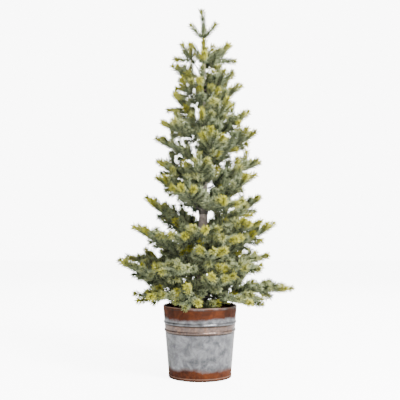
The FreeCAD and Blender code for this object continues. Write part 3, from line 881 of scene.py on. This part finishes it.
# %% Wind a ribbon
def wind(name, core, pitch, lip, sides=40):
    """A helical winding round a core (its foot, its head and its radius at each), with its
    turns' edges standing out by lip."""
    foot, head, foot_radius, head_radius = core
    length = (head - foot).length
    bpy.ops.mesh.primitive_plane_add(size=1, location=(0, 0, 0))
    winding = bpy.context.object
    winding.name = name
    bpy.ops.object.mode_set(mode="EDIT")
    bpy.ops.mesh.merge(type="CENTER")
    bpy.ops.transform.translate(value=(foot_radius - lip, 0, -pitch))
    for out, up in ((lip, 0.14 * pitch), (-0.3 * lip, 0.5 * pitch), (-0.7 * lip, 0.36 * pitch)):
        bpy.ops.mesh.extrude_region_move(TRANSFORM_OT_translate={"value": (out, 0, up)})
    bpy.ops.object.mode_set(mode="OBJECT")
    bpy.ops.object.transform_apply(location=True, rotation=True, scale=True)
    stack = winding.modifiers.new("stack", "ARRAY")
    stack.count = math.ceil(length / pitch) + 2
    stack.use_relative_offset = False
    stack.use_constant_offset = True
    stack.constant_offset_displace = (0, 0, pitch)
    stack.use_merge_vertices = True
    stack.merge_threshold = 0.01 * MM
    turn = winding.modifiers.new("turn", "SCREW")
    turn.axis = "Z"
    turn.screw_offset = pitch
    turn.steps = turn.render_steps = sides
    for modifier in ("stack", "turn"):
        bpy.ops.object.modifier_apply(modifier=modifier)
    bpy.ops.object.mode_set(mode="EDIT")
    bpy.ops.mesh.select_all(action="SELECT")
    bpy.ops.mesh.remove_doubles(threshold=0.02 * MM)
    for level, way in ((0, -1), (length, 1)):
        bpy.ops.mesh.select_all(action="SELECT")
        bpy.ops.mesh.bisect(plane_co=(0, 0, level), plane_no=(0, 0, way), use_fill=True, clear_outer=True)
    bpy.ops.mesh.select_all(action="SELECT")
    bpy.ops.mesh.normals_make_consistent(inside=False)
    bpy.ops.object.mode_set(mode="OBJECT")
    for vertex in winding.data.vertices:
        narrowing = 1 + (head_radius / foot_radius - 1) * vertex.co.z / length
        vertex.co.x *= narrowing
        vertex.co.y *= narrowing
    winding.rotation_euler = (head - foot).to_track_quat("Z", "X").to_euler()
    winding.location = foot
    bpy.ops.object.transform_apply(location=True, rotation=True, scale=True)
    bpy.ops.object.shade_smooth_by_angle(angle=math.radians(35))
    return winding


WINDING_ROOM = 0.1 * MM  # between a core and what is wound on it


def core_of(points):
    """A CAD solid's lower end and upper end, and the radius to wind at on each."""
    solid = measure(points)
    ends, radii = solid["ends"], solid["end_radii"]
    if ends[0][2] > ends[1][2]:
        ends, radii = ends[::-1], radii[::-1]
    return Vector(ends[0]), Vector(ends[1]), radii[0] + WINDING_ROOM, radii[1] + WINDING_ROOM


# %% Wind the trunk in three lengths
RIBBON_PITCHES = {"lower_trunk_wrap": 4.6 * MM, "middle_trunk_wrap": 4.0 * MM, "upper_trunk_wrap": 3.4 * MM}
RIBBON_LIP = 0.3 * MM
for node, pitch in RIBBON_PITCHES.items():
    core = core_of(max(solids_of(node), key=len))
    wound = wind(node.replace("wrap", "ribbon"), core, pitch, RIBBON_LIP)
    wound.data.materials.append(trunk_paper)
    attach(wound, TRUNK_BODY)
    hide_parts(node)
    print(node, "from", round(core[0].z, 3), "to", round(core[1].z, 3), "m")


# %% Tape the roots of the branches
TAPE_PITCH = 2.4 * MM
TAPE_LIP = 0.35 * MM
SHORTEST_COLLAR = 5 * MM


def join_pieces(pieces):
    """Makes one object of several, with the first one's name."""
    bpy.ops.object.select_all(action="DESELECT")
    for piece in pieces:
        piece.select_set(True)
    bpy.context.view_layer.objects.active = pieces[0]
    bpy.ops.object.join()
    return bpy.context.object


cores = [core_of(points) for points in solids_of("root_collars")]
cores = [core for core in cores if (core[1] - core[0]).length > SHORTEST_COLLAR]
root_tape = join_pieces([wind("root_tape", core, TAPE_PITCH, TAPE_LIP, 32) for core in cores])
root_tape.name = "root_tape"
root_tape.data.materials.clear()
root_tape.data.materials.append(crepe_tape)
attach(root_tape, TRUNK_BODY)
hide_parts("root_collars")
print(len(cores), "collars")

# %% [markdown]
# ## Wires, tape and foliage of each branch
# A branch's wire is one bent length that thins towards its end, so it's drawn as a smooth curve
# through the middles of its forks, with a radius at each point, and turned into a mesh. Tape is
# wound on it, which shows as slight ridges. Where it forks, and where it turns at the
# trunk, the tape swells into a lump. The lump at the trunk sits exactly on the hinge and is
# round about its line, so it stays put while the branch bends. The needles are grown over the
# sprays and over all of the wire but its root.

# %% Model the tape lump
bpy.ops.mesh.primitive_uv_sphere_add(segments=10, ring_count=8, radius=1, location=(0, 0, 0))
lump_model = bpy.context.object
bpy.ops.object.mode_set(mode="EDIT")
bpy.ops.mesh.select_mode(type="FACE")
bpy.ops.mesh.select_all(action="DESELECT")
bpy.ops.object.mode_set(mode="OBJECT")
for face in lump_model.data.polygons:
    face.select = 0.2 < face.center.z < 0.6 or -0.6 < face.center.z < -0.2
bpy.ops.object.mode_set(mode="EDIT")
bpy.ops.transform.resize(value=(1.1, 1.1, 1.0))
bpy.ops.object.mode_set(mode="OBJECT")
lump_pattern = as_pattern(lump_model)
print("lump:", len(lump_pattern[1]), "triangles")


# %% Follow a branch's wire
def nearest_knot(knots, place):
    """The number of the knot that is nearest to a place."""
    return int(np.argmin([np.linalg.norm(knot["middle"] - place) for knot in knots]))


def follow_wires(knots, wires):
    """Each wire as a row of (point, radius), joined to the next through their shared fork, and
    whether it is a twig."""
    starts = {}
    for wire in wires:
        wire["knots"] = tuple(nearest_knot(knots, end) for end in wire["ends"])
        if not wire["twig"]:
            starts[wire["knots"][0]] = wire
    chains = []
    for wire in wires:
        inner, outer = wire["knots"]
        rows = [(knots[inner]["middle"], wire["end_radii"][0])]
        if wire["twig"]:
            rows.append((knots[outer]["middle"], wire["end_radii"][1]))
            chains.append((rows, True))
        elif not any(other["knots"][1] == inner and not other["twig"] for other in wires):
            while wire:
                rows.append((knots[wire["knots"][1]]["middle"], wire["end_radii"][1]))
                wire = starts.get(wire["knots"][1])
            chains.append((rows, False))
    return chains


# %% Draw the wires
WIRE_STEP = 2.2 * MM  # between the points of a wire
TAPE_RIDGES = (0.94, 1.08)  # the tape makes a wire thinner and thicker by turns


def smooth_rows(rows):
    """Points along a smooth line through the rows, with ridges of tape in their radii."""
    points = np.array([row[0] for row in rows])
    radii = np.array([row[1] for row in rows])
    padded = np.vstack([2 * points[0] - points[1], points, 2 * points[-1] - points[-2]])
    made = []
    for i in range(len(points) - 1):
        before, start, end, after = padded[i : i + 4]
        count = max(2, int(np.linalg.norm(end - start) / WIRE_STEP))
        for t in np.arange(count) / count:
            point = 0.5 * (
                2 * start + (end - before) * t + (2 * before - 5 * start + 4 * end - after) * t**2
                + (3 * start - before - 3 * end + after) * t**3
            )
            made.append((point, radii[i] + (radii[i + 1] - radii[i]) * t))
    made.append((points[-1], radii[-1]))
    return [(point, radius * TAPE_RIDGES[i % 2]) for i, (point, radius) in enumerate(made)]


def model_wires(name, chains):
    """One mesh with a tapered tube along each chain."""
    data = bpy.data.curves.new(name, "CURVE")
    data.dimensions = "3D"
    data.bevel_depth = 1.0
    data.bevel_resolution = 1
    data.use_fill_caps = True
    for rows, _ in chains:
        path = smooth_rows(rows)
        spline = data.splines.new("POLY")
        spline.points.add(len(path) - 1)
        for point, (place, radius) in zip(spline.points, path):
            point.co = (*place, 1)
            point.radius = radius
    piece = bpy.data.objects.new(name, data)
    bpy.context.scene.collection.objects.link(piece)
    bpy.ops.object.select_all(action="DESELECT")
    piece.select_set(True)
    bpy.context.view_layer.objects.active = piece
    bpy.ops.object.convert(target="MESH")
    return bpy.context.object


# %% Swell the tape over the knots
# each kind's greatest reach in CAD, and the width and length of its lump
LUMP_SIZES = {
    "bud": (2.1 * MM, 1.25 * MM, 1.6 * MM),
    "fork": (2.75 * MM, 2.0 * MM, 2.6 * MM),
    "knuckle": (KNOT_REACH, 1.92 * MM, 2.2 * MM),
}


def tape_lumps(name, knots, wires):
    """The swelling of tape over each knot, along the wire that comes to it."""
    thicket = Thicket()
    for index, knot in enumerate(knots):
        kind = next(kind for kind, sizes in LUMP_SIZES.items() if knot["reach"] < sizes[0])
        _, width, length = LUMP_SIZES[kind]
        arriving = [wire for wire in wires if wire["knots"][1] == index]
        leaving = [wire for wire in wires if wire["knots"][0] == index]
        ahead = np.array((0.0, 0.0, 1.0))
        if arriving or leaving:
            wire = (arriving or leaving)[0]
            ahead = unit(wire["ends"][1] - wire["ends"][0])
        if kind == "knuckle":
            ahead = unit(np.cross(ahead, (0.0, 0.0, 1.0)))
        _, top = frame_along(ahead)
        thicket.add(
            lump_pattern, knot["middle"][None], ahead[None], top[None], np.array([length]), np.array([width]),
            np.zeros(1), np.zeros(1),
        )
    return thicket.mesh(name, crepe_tape)


print("wires follow", sum(len(s[1]) for s in skeletons.values()), "CAD rods")

# %% Join a branch's wires
def build_wires(node, knots, wires, chains):
    """The taped wires of a branch and their lumps, as one piece."""
    piece = tape_lumps(node + "_tape", knots, wires)
    if chains:
        tubes = model_wires(node + "_wire", chains)
        tubes.data.materials.clear()
        tubes.data.materials.append(crepe_tape)
        bpy.ops.object.shade_smooth()
        piece = join_pieces([tubes, piece])
    piece.name = node + "_wire"
    return piece


# %% Grow a branch's foliage
# In front the trunk shows between two tiers, so the branches there have no sprays across it.
THINNED = {
    "tier_2_branch_d": (UPPER_LIFT,),
    "tier_3_branch_b": (UPPER_LIFT,),
    "tier_3_branch_c": (UPPER_LIFT,),
    "tier_3_branch_d": (UPPER_LIFT,),
    "tier_4_branch_b": (LOWER_LIFT,),
    "tier_4_branch_c": (UPPER_LIFT, LOWER_LIFT),
}
UPRIGHT = 0.75  # the climb of a spray that stands up, as a share of its length
SHORTEST_COVER = 3 * MM


def cover_rows(foliage, rows, bare):
    """Needles along a whole wire, but for its first stretch, which stays bare."""
    tone = growth.uniform(0.3, 0.6)
    done = 0.0
    for (start, _), (end, _) in zip(rows, rows[1:]):
        span = np.linalg.norm(end - start)
        skip = max(0.0, bare - done)
        if skip < span - SHORTEST_COVER:
            cover_wire(foliage, start + (end - start) / span * skip, end, tone)
        done += span


def grow_foliage(node, sprays, chains):
    """All the needles of a branch, as one piece."""
    foliage = Thicket()
    left_out = THINNED.get(node, ())
    outer = np.ones(len(sprays))  # how far out each spray ends, against the one that ends furthest out
    if node in joints:
        tips = np.array([spray["ends"][1] for spray in sprays])
        outer = np.linalg.norm(tips - np.array(joints[node]["pos_m"]), axis=1)
        outer = outer / outer.max()
    for rows, twig in chains:
        if not twig:
            add_side_sprays(foliage, rows, left_out)
    for spray, share in zip(sprays, outer):
        youth = float(np.clip((share - 0.55) / 0.35, 0.08, 1)) * growth.uniform(0.35, 0.92)
        if growth.random() < 0.1:
            youth = growth.uniform(0.8, 1.15)
        foot, tip = spray["ends"]
        ahead = unit(tip - foot)
        if ahead[2] > UPRIGHT and UPPER_LIFT in left_out:
            continue
        tip = tip + ahead * TIP_GROWTH * float(np.clip((share - 0.6) / 0.3, 0, 1))
        grow_spray(foliage, foot, tip, youth)
    for rows, twig in chains:
        cover_rows(foliage, rows, 0.0 if twig else BARE_ROOT)
    return foliage.mesh(node + "_needles", frosted_needles)


# %% Build every branch
needle_total = 0
for node, (knots, wires, sprays) in skeletons.items():
    body = node if node in joints else TRUNK_BODY
    chains = follow_wires(knots, wires)
    wire_piece = build_wires(node, knots, wires, chains)
    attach(wire_piece, body)
    needles = grow_foliage(node, sprays, chains)
    needle_total += len(needles.data.polygons)
    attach(needles, body)
    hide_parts(node)
print("foliage:", needle_total, "triangles")

# %% [markdown]
# ## Sprays at the foot
# The filling of the pot would show between the lowest branches, so a ring of small sprays sits round
# the foot of the trunk and hides it. They stand on the trunk, not on the branches, and end inside
# the rim, so that nothing pushes them over the edge when the branches are bent down.


# %% Grow the foot sprays
FOOT_SPRAYS = 15
FOOT_RADIUS = 9 * MM
FOOT_LIFT = (10, 19)  # degrees above level
FOOT_REACH = (42, 51)  # millimetres
UPWARD = np.array((0.0, 0.0, 1.0))
foot_foliage = Thicket()
for turn in range(FOOT_SPRAYS):
    angle = 2 * math.pi * (turn + jitter(0.2)) / FOOT_SPRAYS
    outward = np.array((math.cos(angle), math.sin(angle), 0.0))
    foot = outward * FOOT_RADIUS + UPWARD * (pot_high.z + growth.uniform(-4, 0) * MM)
    lift = math.radians(growth.uniform(*FOOT_LIFT))
    reach = growth.uniform(*FOOT_REACH) * MM
    tip = foot + reach * (math.cos(lift) * outward + math.sin(lift) * UPWARD)
    grow_spray(foot_foliage, foot, tip, growth.uniform(0.1, 0.75))
foot_sprays = foot_foliage.mesh("foot_sprays", frosted_needles)
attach(foot_sprays, TRUNK_BODY)
print("foot sprays:", [round(v * 1000) for v in foot_sprays.dimensions], "mm")
